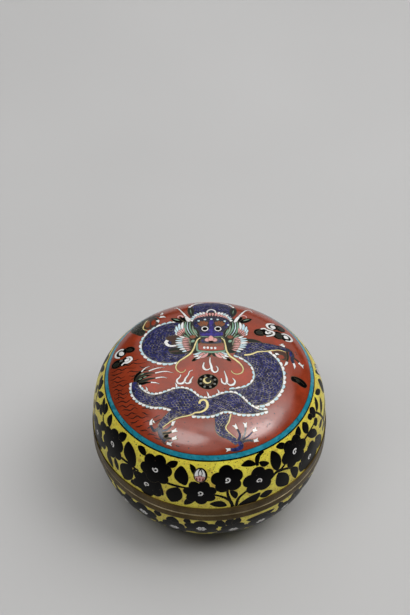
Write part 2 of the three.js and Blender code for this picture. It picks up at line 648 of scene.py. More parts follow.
def brass_material(name, dull, rubbed_and_highlit):
    """Old brass, brown and dull, a little brighter where it is worn. It also makes the seam highlight brass:
    pale brass that paints the highlight on the rounded rim edges at the seam.
    """
    n = Nodes(name)
    wear_and_glint = n.ramp(n.noise(120, 4.0, 0.6), 0.35, 0.65)
    fine = n.ramp(n.noise(1400), 0.4, 0.7)
    n.set("Base Color", n.mix(n.ramp(fine, 0.0, 1.0, 0.0, 0.4), n.mix(wear_and_glint, dull, rubbed_and_highlit), shade(dull, 0.7)))
    n.set("Metallic", 0.95)
    n.set("Roughness", n.ramp(wear_and_glint, 0.0, 1.0, 0.50, 0.36))
    n.bump(fine, 0.00004, 0.5)
    return n.material


METALS = {  # how each is made, its name in Blender, and its dull and its bright colour
    "wire": (wire_material, "gilt_wire", (0.085, 0.065, 0.035), (0.20, 0.155, 0.085)),
    # The scale wire is a copy of the gilt wire whose pale spots are painted glints.
    "bright wire": (wire_material, "scale_wire", (0.045, 0.040, 0.034), (0.42, 0.38, 0.29)),
    "brass": (brass_material, "old_brass", (0.060, 0.038, 0.011), (0.115, 0.076, 0.024)),
    # A painted highlight: pale brass for the light caught by the rounded rim edges at the seam.
    "rubbed brass": (brass_material, "rubbed_brass", (0.30, 0.24, 0.13), (0.55, 0.46, 0.28)),
}
made_materials = {}


def material(name):
    if name not in made_materials:
        if name in METALS:
            make, *values = METALS[name]
            made_materials[name] = make(*values)
        else:
            made_materials[name] = enamel_material(name, ENAMELS[name][:3], *ENAMELS[name][3:])
    return made_materials[name]


# ---------------------------------------------------------------- the dragon's parts

RED_REACH = TURQUOISE[0]  # where the red ground ends
SCALE_WIDTH = 1.45
SCALE_ROW = 1.15


def scales(d, left, right):
    """Rows of scale-shaped wires across the band between two edges, opening towards its start."""
    rows = max(2, round(length_of((left + right) / 2) / SCALE_ROW))
    left = resampled(left, rows + 1)
    right = resampled(right, rows + 1)
    bow = np.linspace(0, math.pi, 7)
    chance = np.random.default_rng(5)
    for row in range(rows):
        width = math.dist(left[row], right[row])
        count = max(1, round(width / SCALE_WIDTH))
        for k in range(-(row % 2), count):
            across = (k + 0.5 * (row % 2) + 0.5 - 0.5 * np.cos(bow)) / count
            across = (across + chance.normal(0, 0.06) / count).clip(0.01, 0.99)
            along = row + chance.uniform(0.75, 1.15) * np.sin(bow)
            at = np.minimum(along, rows)
            low = np.floor(at).astype(int).clip(0, rows - 1)
            share = (at - low)[:, None]
            a = left[low] * (1 - share) + left[low + 1] * share
            b = right[low] * (1 - share) + right[low + 1] * share
            # The scale wires use the copy with painted glints.
            d.fill(ribbon(a + (b - a) * across[:, None], WIRE * 0.4), "bright wire")


def band(d, left, right, enamel="blue"):
    """A stretch of the scaled body between two edge curves that run the same way."""
    left = smooth(left)
    right = smooth(right)
    d.cell(np.vstack((left, right[::-1])), enamel)
    count = max(len(left), len(right))
    scales(d, resampled(left, count), resampled(right, count))
    d.wire(left)
    d.wire(right)


def fin(d, edge, side, lobe=2.5, tall=1.25, colours=("white", "white", "pale")):
    """A row of rounded lobes outside an edge of the body, on its left for side 1 and its right for -1."""
    path = smooth(edge, 0.3)
    path = path + sideways(path) * side * 0.3
    count = max(1, round(length_of(path) / lobe))
    steps = 7
    path = resampled(path, count * steps + 1)
    out = sideways(path) * side
    t = np.linspace(0, 1, steps + 1)[:, None]
    rise = tall * (0.45 + 0.55 * np.sin(np.pi * t ** 0.7).clip(0) ** 0.6)
    for k in range(count):
        run = slice(k * steps, (k + 1) * steps + 1)
        outer = path[run] + out[run] * rise
        inner = path[run] - out[run] * 0.15
        d.cell(np.vstack((outer, inner[::-1])), colours[k % len(colours)], 0.9)


def claw(d, points, width):
    """A white claw, pointed at its end."""
    d.stroke(points, (width, width * 0.9, 0.15), "white", 0.3)


def fishtail(d, x, y, turn, long=2.0):
    """A stubby white claw that widens to two points."""
    c, s = math.cos(math.radians(turn)), math.sin(math.radians(turn))
    outline = [(-0.4, 0.55), (0.45 * long, 0.65), (long, 1.05), (0.8 * long, 0), (1.1 * long, -0.75),
        (0.45 * long, -0.65), (-0.4, -0.55)]
    d.cell(np.array([(x + u * c - v * s, y + u * s + v * c) for u, v in outline]), "white")


def toe(d, points, width=1.1, enamel="navy"):
    """A blunt dark toe."""
    d.stroke(points, (width, width, width * 0.75), enamel)


def waves(d):
    """Dark wavy strokes in the red ground, at its left."""
    rows, spacing, widest = 21, 2.2, 0.62
    chance = np.random.default_rng(11)
    for row in range(rows):
        y = 5 - spacing * row
        edge = math.sqrt((RED_REACH - 0.9) ** 2 - (y - 0.5) ** 2)
        start = -edge + chance.uniform(0, 1)
        length = chance.uniform(12, 18) if row < 16 else 9
        x = np.arange(start, start + length, 0.5)
        fall = spacing * (x - start) / length
        phase = chance.uniform(0, 6)
        swing = (0.4 + 0.25 * np.sin(x * 0.7 + phase)) * np.sin(x * 1.3 + phase)
        path = np.stack((x, y - fall + swing), 1)
        path = path[np.hypot(path[:, 0], path[:, 1]) < RED_REACH - 0.5]
        cut = chance.integers(9, len(path) - 6)
        for part in (path[:cut], path[cut + 2:]):
            share = np.interp(np.linspace(0, 1, len(part)), (0, 0.3, 0.7, 1), (0.2, 1, 0.8, 0.1))
            d.fill(ribbon(part, widest * share / 2), "wave")


def worn_pits(d):
    """Small dark pits in the glaze, most of them low on the right."""
    chance = np.random.default_rng(23)
    groups = (((21, -31), 6.5, 46), ((30, -26), 5, 16), ((-4, -36), 9, 14), ((0, 0), 28, 26))
    for centre, spread, count in groups:
        for _ in range(count):
            place = chance.normal(centre, spread)
            size = chance.uniform(0.1, 0.3)
            if np.hypot(*place) < RED_REACH - 1.2:
                d.fill([oval(place, size, size * 0.8, chance.uniform(0, 180), 0.2)], "dark")


def left_loop(d):
    outer = [(-6, 22.6), (-10, 24.2), (-14, 24.7), (-18, 24.3), (-22.5, 22.9), (-26.2, 19.9), (-28.6, 16),
        (-29.4, 11.5), (-28.4, 7), (-25.8, 3.3), (-22, 0.8), (-17.5, 0.0), (-13, 0.8), (-9, 3.4), (-6, 7)]
    inner = [(-10, 13.6), (-12, 14), (-14, 13.8), (-15.6, 13), (-16.4, 11.6), (-15.8, 10.2), (-14, 9.4),
        (-12, 9.4), (-10, 10)]
    d.blob(inner, "brown")
    band(d, inner, outer)
    d.blob([(-18.8, 15.3), (-17.4, 13), (-14.6, 12), (-12, 12.6), (-12, 15.4), (-15, 16)], "brown")
    d.blob([(-17.6, 7.6), (-14, 8.8), (-11, 8), (-10.4, 5.4), (-13.6, 4.6), (-16.4, 5.4)], "dark")
    d.cell(leaf((-17, 6.4), (-12.6, 6.6), 0.9), "brown", 0.8)
    d.stroke([(-18.2, 13.4), (-18.9, 12), (-17.9, 10.3), (-16.1, 9.7), (-13.4, 10.4)], (1.7, 1.4, 0.8),
        "white")
    fin(d, outer[2:-2], -1, colours=("white", "pale", "pale"))


def top_hump(d):
    outer = [(-8.6, 28), (-8.6, 33), (-7.6, 37.6), (-4.7, 41), (1, 42.3), (6.7, 41), (9.5, 37.6), (10.5, 33),
        (10.5, 28)]
    inner = [(-4, 28), (-3.5, 30), (-2, 31), (1, 31.4), (4, 31), (5.5, 30), (6, 28)]
    band(d, inner, outer)
    for base, tip, width in (((-8, 28.4), (-8.6, 38), 3.0), ((10.4, 28.4), (11, 37.6), 3.2)):
        d.cell(leaf(base, tip, width), "dark")
        d.cell(leaf((base[0], base[1] + 2), (tip[0], tip[1] - 3), 0.5), "green", 0.8)
    fin(d, [(-8.4, 36.4), (-7.2, 39), (-4.7, 41.4), (-2.6, 42.1)], 1)
    fin(d, [(4.6, 42.1), (6.8, 41.4), (9.2, 39), (10.6, 36.4)], 1)


def right_coil(d):
    inner = [(10.7, 4.7), (13.8, 3), (16.4, 1), (18.3, -1.5), (19.3, -4.6), (19.5, -7.7), (18.4, -10.8),
        (16, -13.3), (12.4, -14.6), (8.4, -15.3)]
    outer = [(16, 12), (21, 9.6), (25, 7), (28.2, 3.8), (30.4, 0), (31.4, -4.5), (31.3, -9.5), (30, -14),
        (27.3, -18.2), (23.4, -21.4), (18.5, -22.9)]
    band(d, inner, outer)
    fin(d, inner, -1, tall=0.95, colours=("pale", "white", "pale"))
    fin(d, outer[2:], 1)


def foreleg(d):
    """The leg on the viewer's right, stretched over the coil."""
    d.cell(leaf((14.6, 13.6), (23, 12.4), 2.2), "dark")
    d.blob([(27.6, 7.2), (30, 8.2), (32.8, 8.2), (33.8, 6), (33, 3.6), (30.8, 3.6)], "brown")
    d.cell(oval((31.2, 5), 1.5, 1.3), "red")
    lower = [(12.5, 5), (15, 4.4), (18, 4.9), (21, 6.6), (24, 7.1), (27, 8), (30.5, 9), (33.5, 8.6)]
    upper = [(13.5, 10.2), (16, 11.4), (19, 12.1), (22, 12.2), (26, 12.1), (30, 11.6), (33, 11.6),
        (35.6, 10.8)]
    band(d, lower, upper)
    d.stroke(lower[1:], (1.0, 0.7, 0.4), "cream")
    toe(d, [(33.4, 10.2), (35.6, 9.6), (36.5, 7), (36.2, 4.8), (36.8, 2.6)], 1.9)
    d.cell(oval((35.8, 8.2), 0.8, 1.9, -10), "blue", 0.8)
    for width, *line in (
        (0.9, (34, 9), (34.3, 6), (34, 4), (33.4, 2.4)), (0.9, (36.9, 6.2), (38.6, 5.2), (39.8, 4.2)),
    ):
        toe(d, line, width, "dark")
    for width, *line in (
        (1.2, (36.8, 2.8), (37.2, 1.2), (37, -0.6)), (1.3, (33.8, 2.8), (33.2, 1.2), (32.2, -0.2)),
        (1.3, (39.4, 4.2), (40.8, 3), (42.2, 4.4)), (1.1, (40.2, 3.6), (41.2, 2.6), (41.6, 1.6)),
        (1.3, (33.2, 11.9), (32, 12.4), (30.6, 12.5)), (0.9, (31.6, 12.6), (32, 13.2), (33, 13.6)),
        (1.3, (28.6, 6.2), (29.6, 6.4), (30.4, 6)),
    ):
        claw(d, line, width)


def upper_left_leg(d):
    inner = [(-28.5, 19.5), (-28.4, 21.6), (-30, 24), (-29.8, 28), (-28.3, 31.2), (-25.5, 31.4)]
    outer = [(-30, 18), (-32.8, 20.6), (-35.6, 24.4), (-36, 29), (-33, 33.2), (-27, 34.6)]
    band(d, inner, outer, "dark")
    d.blob([(-28.6, 31.2), (-29.6, 27.5), (-29.5, 24.4), (-27.6, 22.4), (-24.6, 23), (-22.6, 25.6),
        (-23.6, 29.6), (-26, 32)], "brown")
    d.blob([(-28.4, 30), (-29, 26.8), (-28.4, 24.2), (-26.8, 24), (-26.6, 27), (-27.2, 29.8)], "orange")
    d.cell(oval((-25, 27), 1.2, 2.4), "red")
    d.stroke([(-27.4, 21.4), (-29.2, 22.9), (-29.7, 24.6), (-29.4, 27), (-28.9, 29.4), (-28.2, 31.2)],
        (0.5, 0.7, 0.5), "cream")
    for width, *line in (
        (1.2, (-26.5, 32.6), (-24.4, 31), (-23.4, 28.6)), (1.1, (-26, 33.2), (-23.6, 32.6), (-22.4, 31.2)),
        (1.0, (-26.6, 33.6), (-24, 34.6), (-22.2, 34.8)), (1.0, (-28, 34), (-26.4, 36.2), (-25.4, 37.6)),
    ):
        toe(d, line, width, "dark")
    for width, *line in (
        (1.5, (-23.4, 28.6), (-22.8, 27.4), (-22.6, 26.2)), (1.9, (-22.4, 31.2), (-21, 30.8), (-19.4, 29.8)),
        (1.4, (-21.8, 33.4), (-21.4, 34.8), (-21.8, 36)), (1.1, (-25.6, 37.4), (-24.4, 38.8), (-22.6, 38)),
    ):
        claw(d, line, width)


def hind_legs(d):
    back = [(-15, -23.5), (-17.4, -26.2), (-19.8, -28.6), (-21.8, -31.4), (-21.4, -34)]
    front = [(-5, -27.2), (-9, -28.3), (-13, -29), (-16.5, -30.6), (-19.2, -32.8)]
    band(d, back, front)
    for enamel, width, *line in (
        ("navy", 1.2, (-21, -32.6), (-23.6, -33.6), (-25, -31.2)),
        ("navy", 2.2, (-21, -33), (-20.6, -36), (-18.6, -38.8)),
        ("navy", 1.0, (-20.4, -34.2), (-18, -34), (-16, -32.4)),
        ("dark", 1.0, (-20, -35.4), (-17.6, -35.4), (-15.8, -35)),
        ("dark", 1.0, (-19.6, -37), (-17.6, -37.6), (-16.2, -37.8)),
    ):
        toe(d, line, width, enamel)
    d.cell(oval((-18.4, -36.6), 1.1, 0.8, 20), "black")
    for width, *line in (
        (1.5, (-24.9, -31), (-24.8, -29.4), (-24, -28.2)),
        (0.7, (-23.9, -29.2), (-23.4, -30.2), (-22.9, -30.4)),
    ):
        claw(d, line, width)
    for x, y, turn in ((-15.6, -32, 70), (-15.6, -34.9, 15), (-15.6, -38, 10), (-18, -39.7, -20)):
        fishtail(d, x, y, turn)
    back = [(1.6, -28), (2.3, -31), (2.4, -35), (4, -37.4), (7.5, -38.8), (11, -41)]
    shin = [(8.9, -27.5), (8.1, -31), (6.8, -33.8), (8.4, -36), (11, -38), (14, -39)]
    band(d, back, shin)
    d.stroke(shin[:-1], (0.7, 0.6, 0.3), "cream")
    for enamel, width, *line in (
        ("blue", 1.1, (12.2, -39), (12.8, -36.6), (11.6, -34.2)),
        ("navy", 0.9, (13.4, -39), (14.8, -36.2), (15.2, -33)),
        ("blue", 0.7, (13.8, -38.6), (16.2, -37), (18.2, -34.8)),
        ("navy", 1.0, (13.2, -39.8), (16.2, -38.6), (18.6, -38.6)),
        ("blue", 1.9, (12.6, -39.2), (13.6, -41.4), (11.4, -42.8), (9.2, -43)),
    ):
        toe(d, line, width, enamel)
    for x, y, turn, long in ((11.3, -33.8, 120, 1.9), (15.1, -32.8, 95, 1.8), (18.6, -34.2, 30, 1.6),
            (19.2, -38.5, 20, 1.9), (8.6, -42.9, 190, 1.7)):
        fishtail(d, x, y, turn, long)


def lower_body(d):
    top = [(-31, -9), (-30, -12.2), (-27.8, -15), (-25, -16.8), (-21.8, -17.1), (-18.4, -16.2), (-15, -14.9),
        (-12, -14.5), (-9.2, -15.2), (-6.8, -17), (-4.6, -19.2), (-1.8, -20), (1.4, -19.5), (4.2, -18.1),
        (7.4, -17), (10.4, -17.1), (12.8, -18.6), (14.8, -20.7), (16.8, -22.8), (19.4, -24.3), (22, -24.8),
        (24.6, -24.3)]
    bottom = [(-33.1, -9), (-33.2, -12.6), (-32.2, -16), (-30, -18.9), (-27, -21.1), (-23.6, -22.6),
        (-19.8, -23.2), (-16, -24.6), (-11.6, -27.4), (-7.4, -28), (-3.8, -28.3), (-0.4, -28.3),
        (2.6, -27.5), (5.6, -26.1), (9, -26), (12.6, -26.9), (16, -26.9), (20, -26.2), (24.6, -24.3)]
    band(d, top, bottom)
    fin(d, top, 1, 1.9, 1.0)
    fin(d, bottom[:8], -1, 1.9, 1.1)
    fin(d, bottom[9:], -1, 1.9, 1.1, ("white", "pale"))
    for x, y in ((-26.9, -14.6), (-14.3, -13.6), (-0.9, -18.6), (3.6, -17.4)):
        claw(d, [(x + 0.4, y), (x + 0.3, y + 1.1), (x - 0.3, y + 2.4)], 0.8)
    d.stroke([(-4.3, -22.5), (-3.9, -21.1), (-2.4, -20.5), (-1.1, -21.7), (-0.9, -23.8), (-1.9, -25.6),
        (-3.9, -26.7), (-6, -26.9), (-7.4, -27.9)], (1.0, 1.2, 0.6), "cream")
    d.stroke([(-7.2, -27.8), (-10, -28.4), (-13, -29), (-16.2, -30.4), (-19.8, -32.8)], (0.7, 0.6, 0.5),
        "cream")


def tail_tuft(d):
    strands = [
        [(-32, -9), (-31.4, -5.8), (-28.6, -3.6), (-26, -3.4)],
        [(-31.6, -9), (-30, -6.4), (-26.8, -5.2), (-23, -5.4)],
        [(-31, -9.4), (-28.6, -7.4), (-26, -6.4), (-24.4, -6.4)],
        [(-30.4, -9.8), (-28, -9), (-25.4, -8.4), (-22.8, -8.2)],
        [(-30.2, -10.2), (-28.6, -10.4), (-26.8, -10.2), (-24.8, -10.3)],
    ]
    for k, strand in enumerate(strands):
        d.stroke(strand, (1.2, 1.5, 0.3), "dark" if k % 2 else "black")
    for x, y in ((-28.8, -5.2), (-27.6, -7), (-29.6, -7.8)):
        d.cell(leaf((x - 0.9, y - 0.4), (x + 0.9, y + 0.3), 0.6), "green", 0.7)
    hairs = [
        [(-29.2, -4), (-27.6, -2.2), (-25.2, -1.2)], [(-26, -4), (-22.6, -2.8), (-19, -2.5)],
        [(-23.2, -5.4), (-19, -4.8), (-15, -5.9)], [(-23, -8.2), (-20, -7.9), (-17.8, -8.6)],
        [(-25, -10.3), (-22.8, -10.7), (-21, -11.7)],
    ]
    for hair in hairs:
        d.stroke(hair, (0.75, 0.6, 0.15), "white", 0.5)


# ---------------------------------------------------------------- the dragon's head

HEAD_X = 0.9  # the head's middle line


def mirrored(*points):
    """The points, and the same points mirrored across the head."""
    return list(points), [(2 * HEAD_X - x, y) for x, y in points]


def pair(d, shape, base, tip, wide, enamel, wire=1.0, bend=0.0):
    """The same leaf or petal on both sides of the head."""
    for sign, (b, t) in zip((1, -1), mirrored(base, tip)):
        d.cell(shape(b, t, wide, bend * sign), enamel, wire)


def behind_the_face(d):
    """A dark ground for the hair and the fans, and curved locks beside the face."""
    for side in mirrored((0.9, 30.2), (-5, 29.6), (-9.6, 26.4), (-12.4, 24.4), (-14.2, 21), (-13.2, 17),
            (-12.8, 15.4), (-13.6, 12), (-12.6, 8.4), (-10, 6), (-6.6, 5.2), (0.9, 5)):
        d.blob(side, "dark")
    locks = [
        ("green", 1.05, (-10.4, 24.8), (-10.8, 21), (-9.9, 17.6), (-8.2, 14.4)),
        ("pale", 0.65, (-9.5, 25.2), (-9.7, 21), (-8.8, 17.8), (-7.2, 15)),
        ("green", 0.95, (-8.5, 24.6), (-8.6, 21), (-7.7, 18), (-6.1, 15.2)),
        ("sage", 0.95, (-7.4, 22.2), (-7.2, 20), (-6.5, 17.7), (-5.1, 15)),
        ("green", 0.9, (-11.2, 16.4), (-9.8, 15), (-8.8, 12.8), (-8.2, 10.4)),
        ("green", 0.8, (-6.5, 19.8), (-5.9, 18.2), (-5.2, 16.6)),
        ("dark", 0.7, (-9.2, 11), (-8.2, 9), (-6.8, 7.6)),
    ]
    for enamel, width, *points in locks:
        for side in mirrored(*points):
            d.stroke(side, (width * 0.5, width, width * 0.4), enamel)


def mane(d):
    """Two sweeps of petals over the brow, leaning away from the middle."""
    for k, degrees in enumerate((84, 74, 64, 54, 44, 34, 24)):
        t = math.radians(degrees)
        tip = (HEAD_X - 9.6 * math.sin(t), 24.2 + (9.3 - 0.04 * k * k) * math.cos(t) + 0.6)
        t = math.radians(0.8 * degrees - 8)
        base = (HEAD_X - 7 * math.sin(t), 22.6 + 5.4 * math.cos(t))
        for b, p in mirrored(base, tip):
            d.two_tone(b, p, 1.45, "pink", "pale" if k in (1, 2, 4) else "white", 0.62)
    for base, tip in (((-0.6, 28), (-1.5, 31.6)), ((0.4, 28.2), (0.1, 31.3))):
        pair(d, petal, base, tip, 1.15, "pink", 0.8)
    d.stroke([(-1.0, 31.2), (-0.7, 32.9), (0.9, 34), (2.5, 32.9), (2.8, 31.2)], (0.7, 0.9, 0.7), "white")


def cheek_fans(d):
    """Two fans of slender petals on each side, pink inside and pale at their tips."""
    upper = [(-14.9, 18), (-15.2, 20.2), (-14.7, 22.3), (-13.3, 24), (-11.6, 24.9)]
    lower = [(-13.2, 15.5), (-14.6, 14.5), (-15, 13.1), (-15, 11.7), (-14.7, 10.3), (-14.1, 8.9),
        (-13.1, 7.5), (-11.9, 6.1)]
    for k, tip in enumerate(upper):
        base = (-12 + 0.35 * k, 15.4 + 0.45 * k)
        for sign, (b, t) in zip((1, -1), mirrored(base, tip)):
            d.two_tone(b, t, 1.35, "pink", "white" if k in (0, 4) else "pale", 0.72 - 0.06 * k, 0.1 * sign)
    for k, tip in enumerate(lower):
        base = (-8.2 + 0.08 * k, 13.5 - 0.84 * k)
        for b, t in mirrored(base, tip):
            d.two_tone(b, t, 1.12, "pink", "white" if k % 3 == 0 else "pale", 0.58)


def temples(d):
    """Dark tufts, horns and ears."""
    pair(d, leaf, (-11.4, 24.4), (-17.2, 28.2), 2.8, "black")
    pair(d, leaf, (-13, 25.8), (-16.2, 27.8), 0.7, "green")
    pair(d, leaf, (-9.6, 24.8), (-13, 28.8), 2.2, "black")
    d.stroke([(-9.6, 27), (-11, 30.2), (-12.8, 34), (-14.9, 39)], (1.2, 0.8, 0.35), "white")
    d.blob([(-8, 25.2), (-9.6, 24.9), (-10.4, 26.2), (-10.9, 28.4), (-9.9, 29), (-8.9, 27.6), (-7.8, 26.8)],
        "white")
    d.stroke([(-11.5, 28.2), (-12.6, 29.7), (-13.9, 29.3), (-13.8, 27.8)], (0.9, 0.9, 0.5), "pink")
    d.stroke([(-14.2, 37), (-15.2, 38.4), (-16.1, 37.4)], (0.5, 0.6, 0.3), "white")
    d.stroke([(12.4, 27.4), (13.6, 29.8), (15.2, 33), (16.9, 36), (18.6, 36.9), (19.6, 34.8)],
        (1.2, 0.8, 0.35), "white")
    d.blob([(10.7, 24.6), (12.1, 24.9), (12.9, 26.6), (13.6, 28.8), (12.8, 29.2), (11.6, 27.4)], "white")
    d.stroke([(14, 29.4), (15.3, 30.3), (16.5, 29.6), (16.5, 28.2)], (0.8, 0.8, 0.4), "pink")
    for (centre,) in mirrored((-7.3, 15)):
        d.cell(oval(centre, 1.35, 1.1), "orange")
        d.cell(oval(centre, 0.65), "red", 0.8)
    for (centre,) in mirrored((-7.2, 12.4)):
        d.cell(oval(centre, 1.0, 0.75, 40), "green", 0.8)


def face(d):
    d.blob([(-7.4, 22.4), (-7.2, 25), (-5.4, 27.3), (-2, 28.3), (0.9, 28.5), (3.8, 28.3), (7.2, 27.3),
        (9, 25), (9.2, 22.4), (7.6, 20), (6.3, 18), (6.2, 16), (5, 14.9), (0.9, 14.6), (-3.2, 14.9),
        (-4.4, 16), (-4.5, 18), (-5.8, 20)], "navy")
    for reach in (5.7, 6.9, 8.1):
        d.wire((HEAD_X, 19.9) + polar(reach, np.radians(np.linspace(28, 152, 15))), width=0.7)
    for side in mirrored((-6.8, 22.2), (-6.6, 24.6), (-5.2, 24), (-4.7, 21.6), (-5.6, 20.6)):
        d.blob(side, "blue", 0.8)
    d.blob([(0.9, 26), (-0.1, 25.2), (-0.1, 22.4), (-0.4, 19.4), (-2.2, 18.1), (-4.2, 17.6), (-4, 16),
        (-1.6, 15.2), (0.9, 15), (3.4, 15.2), (5.8, 16), (6, 17.6), (4, 18.1), (2.2, 19.4), (1.9, 22.4),
        (1.9, 25.2)], "violet", 0.8)
    for x, y in ((-4.7, 25.3), (-1.9, 26.2), (0.9, 26.4), (3.7, 26.2), (6.8, 25.1), (8.3, 22.6)):
        d.cell(oval((x, y), 0.6, step=0.3), "pale", 0.7)
    for base, tip in (
        ((-3.1, 21.2), (-5, 24)), ((-2.6, 21.4), (-3.9, 25.2)), ((-2, 21.4), (-2.5, 25.4)),
        ((-1.4, 21.2), (-1.1, 24.8)),
    ):
        pair(d, petal, base, tip, 1.3, "orange", 0.8)
    for (centre,) in mirrored((-1.95, 20)):
        d.cell(oval(centre, 1.6), "white")
        d.cell(oval(centre, 1.05, step=0.35), "black", 0.5)


def muzzle(d):
    d.stroke([(-5.2, 13.8), (-5.4, 10), (-5.1, 6.9), (-2.6, 6.2), (0.9, 5.9), (4.4, 6.2), (6.9, 6.9),
        (6.8, 10), (6.4, 13.8)], (0.7, 1.1, 0.7), "green")
    d.blob([(-4.4, 11.2), (-4.7, 8.8), (-4.3, 7.2), (0.9, 6.7), (6.1, 7.2), (6.2, 8.8), (6, 11.2),
        (0.9, 11.7)], "red")
    d.blob([(-3.9, 9.9), (-3.2, 11), (0.9, 11.2), (5, 11), (5.7, 9.9), (0.9, 9.5)], "orange", 0.8)
    for x, y in ((-2.2, 8.5), (-0.7, 8.5), (0.9, 8.3), (2.5, 8.3)):
        d.cell(oval((x, y), 0.6, 0.75, step=0.3), "white", 0.7)
    d.blob([(-3.8, 13.2), (-3.5, 11.4), (-1, 10.9), (2.8, 10.9), (5.1, 11.4), (5.4, 13.2), (3.4, 14.3),
        (-1.8, 14.3)], "navy")
    pair(d, leaf, (-3.4, 13), (-2.2, 11.6), 1.0, "violet", 0.7)
    d.cell(oval((0.8, 12), 1.5, 0.7), "black", 0.8)
    for centre in ((-0.9, 13.1), (2.3, 13.1)):
        d.cell(oval(centre, 1.2, 1.05), "pink", 0.8)
    d.blob([(-0.5, 13), (-0.3, 14.8), (0.7, 15.7), (1.7, 14.8), (1.9, 13), (0.7, 12.5)], "pink", 0.8)
    for side in mirrored((-4.6, 14.7), (-2.4, 15.1), (-0.2, 14.9)):
        d.stroke(side, (0.3, 0.5, 0.3), "green")
    beard = [
        ((-3.2, 6), (-7.2, 4.4), 1.3, "pale"), ((-2.4, 5.8), (-6.9, 3.1), 1.3, "white"),
        ((-1.6, 5.6), (-6, 1.8), 1.2, "white"), ((-0.4, 5.6), (-4.2, 2.4), 1.5, "pink"),
        ((-2, 5.9), (-4.8, 3.9), 1.2, "pink"),
    ]
    pair(d, leaf, (-5, 2.8), (-7.6, 0.6), 1.5, "black")
    for base, tip, width, enamel in beard:
        pair(d, leaf, base, tip, width, enamel, bend=0.08)
    d.stroke([(-3.9, 14.4), (-5.2, 13.2), (-6.1, 10.6), (-6.9, 7.6), (-8.3, 5), (-10.6, 2.8), (-12.9, 0.8),
        (-14.3, -1.9), (-14, -4.1), (-12.4, -5.6), (-10.8, -5.2), (-10.2, -4)], (0.6, 0.95, 0.4), "cream")
    d.stroke([(5.2, 14.4), (6.4, 12.8), (7, 9.8), (7.5, 6.6), (8.8, 3.8), (11.1, 1.6), (13.3, -0.8),
        (14.4, -3.4), (13.8, -5.7), (11.8, -6.6), (10, -5.9), (9.3, -4.6)], (0.6, 0.95, 0.4), "cream")


# ---------------------------------------------------------------- around the dragon

def pearl(d):
    centre = (-0.7, -10.8)
    d.cell(oval(centre, 4.4, 4.2), "black", 1.2)
    for k in range(8):
        turn = math.radians(20 + 45 * k)
        dot = np.array(centre) + (3.2 * math.cos(turn), 3.05 * math.sin(turn))
        d.cell(oval(dot, 0.6, 0.5, math.degrees(turn), 0.3), "grey", 0.7)
    d.cell(oval(centre, 2.2, 2.1), "dark")
    d.stroke([(-0.9, -8.4), (-2.1, -9.2), (-2.2, -10.6), (-1.1, -11.6), (0.3, -11.2), (0.5, -10.2)],
        (0.3, 1.15, 0.4), "cream", 0.3)


def flames(d):
    """Three white flames around the pearl."""
    lines = [
        [(-12.2, -6.8), (-12.6, -8.2), (-13.8, -9.8), (-13.4, -11.4), (-11.9, -11.8), (-10.7, -10.9),
            (-10.2, -9), (-9.1, -7.2), (-8.5, -5.2), (-7.1, -4.4)],
        [(-10.6, -10.8), (-9.6, -11.7), (-8.3, -11.3), (-7.9, -9.8), (-6.9, -7.9)],
        [(-2.3, 0), (-2.7, -2.4), (-1.9, -4), (-0.5, -4.1), (0.6, -3)],
        [(0.3, 2.8), (0.2, 0.4), (0.8, -2.2), (1.1, -4.4), (2.2, -5.6), (3.4, -4.9), (3.6, -3.4), (2.8, -2)],
        [(5, -9), (5.3, -11), (6.4, -12), (7.3, -11.4), (7.3, -9), (6.3, -4.8)],
        [(7.3, -11.5), (8.8, -12.7), (10.3, -12.1), (10.8, -10.4), (9.8, -8.8)],
    ]
    for line in lines:
        d.stroke(line, (0.5, 1.15, 0.35), "white")


def ovals(d, enamel, wire, places):
    """Oval cells, each given by the place of its middle, its half widths and its turn."""
    for x, y, wide, tall, turn in places:
        d.cell(oval((x, y), wide, tall, turn), enamel, wire)


